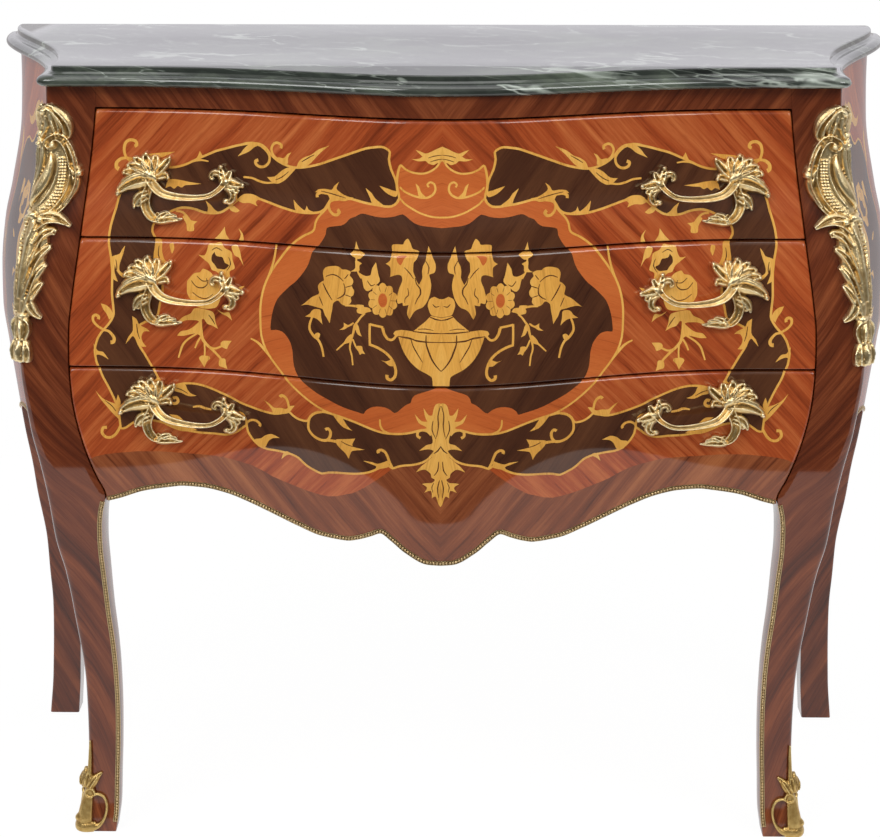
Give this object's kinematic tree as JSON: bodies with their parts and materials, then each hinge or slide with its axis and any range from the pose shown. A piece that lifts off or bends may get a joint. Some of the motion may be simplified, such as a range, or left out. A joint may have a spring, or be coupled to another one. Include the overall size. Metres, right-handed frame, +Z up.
{
  "type": "commode chest",
  "caption": "Serpentine swelling commode on cabriole legs, with drawers that slide out under a moulded marble top, marquetry fronts and gilt cast mounts.",
  "frame": {"origin": "on the floor, under the middle of the chest's overall box", "axes": "+Z up, front towards -Y, +X to the right of a person facing the front"},
  "size_m": [1.0668, 0.527, 0.86],
  "materials": {
    "marble": "polished dark green marble with pale veins",
    "kingwood": "book-matched kingwood veneer with marquetry, gloss lacquer",
    "palisander": "dark kingwood veneer, gloss lacquer",
    "pine": "planed softwood, unfinished",
    "brass": "cast and gilt, aged",
    "steel": "plain steel bolt"
  },
  "bodies": {
    "carcass": {"marble_top": "marble", "top_board": "pine", "frieze_rail": "palisander", "bottom_board": "pine", "dust_board_upper": "pine", "dust_board_lower": "pine", "back_panel": "pine", "front_leg_right": "palisander", "rear_leg_right": "palisander", "side_panel_right": "kingwood", "corner_mount_right": "brass", "sabot_right": "brass", "leg_trim_right": "brass", "side_trim_right": "brass", "guide_top_right": "pine", "guide_middle_right": "pine", "guide_bottom_right": "pine", "front_leg_left": "palisander", "rear_leg_left": "palisander", "side_panel_left": "kingwood", "corner_mount_left": "brass", "sabot_left": "brass", "leg_trim_left": "brass", "side_trim_left": "brass", "guide_top_left": "pine", "guide_middle_left": "pine", "guide_bottom_left": "pine"},
    "top_drawer": {"drawer_top_front": "kingwood", "drawer_top_back": "pine", "drawer_top_bottom": "pine", "drawer_top_side_right": "pine", "handle_top_right": "brass", "bolt_top_right": "steel", "drawer_top_side_left": "pine", "handle_top_left": "brass", "bolt_top_left": "steel"},
    "middle_drawer": {"drawer_middle_front": "kingwood", "drawer_middle_back": "pine", "drawer_middle_bottom": "pine", "drawer_middle_side_right": "pine", "handle_middle_right": "brass", "bolt_middle_right": "steel", "drawer_middle_side_left": "pine", "handle_middle_left": "brass", "bolt_middle_left": "steel"},
    "bottom_drawer": {"drawer_bottom_front": "kingwood", "drawer_bottom_back": "pine", "drawer_bottom_bottom": "pine", "drawer_bottom_side_right": "pine", "handle_bottom_right": "brass", "bolt_bottom_right": "steel", "drawer_bottom_side_left": "pine", "handle_bottom_left": "brass", "bolt_bottom_left": "steel", "apron_trim": "brass"}
  },
  "joints": [
    {"name": "top_drawer_slide", "type": "slide", "parent": "carcass", "child": "top_drawer", "axis": [0, -1, 0], "range_m": [0, 0.28]},
    {"name": "middle_drawer_slide", "type": "slide", "parent": "carcass", "child": "middle_drawer", "axis": [0, -1, 0], "range_m": [0, 0.28]},
    {"name": "bottom_drawer_slide", "type": "slide", "parent": "carcass", "child": "bottom_drawer", "axis": [0, -1, 0], "range_m": [0, 0.28]}
  ]
}
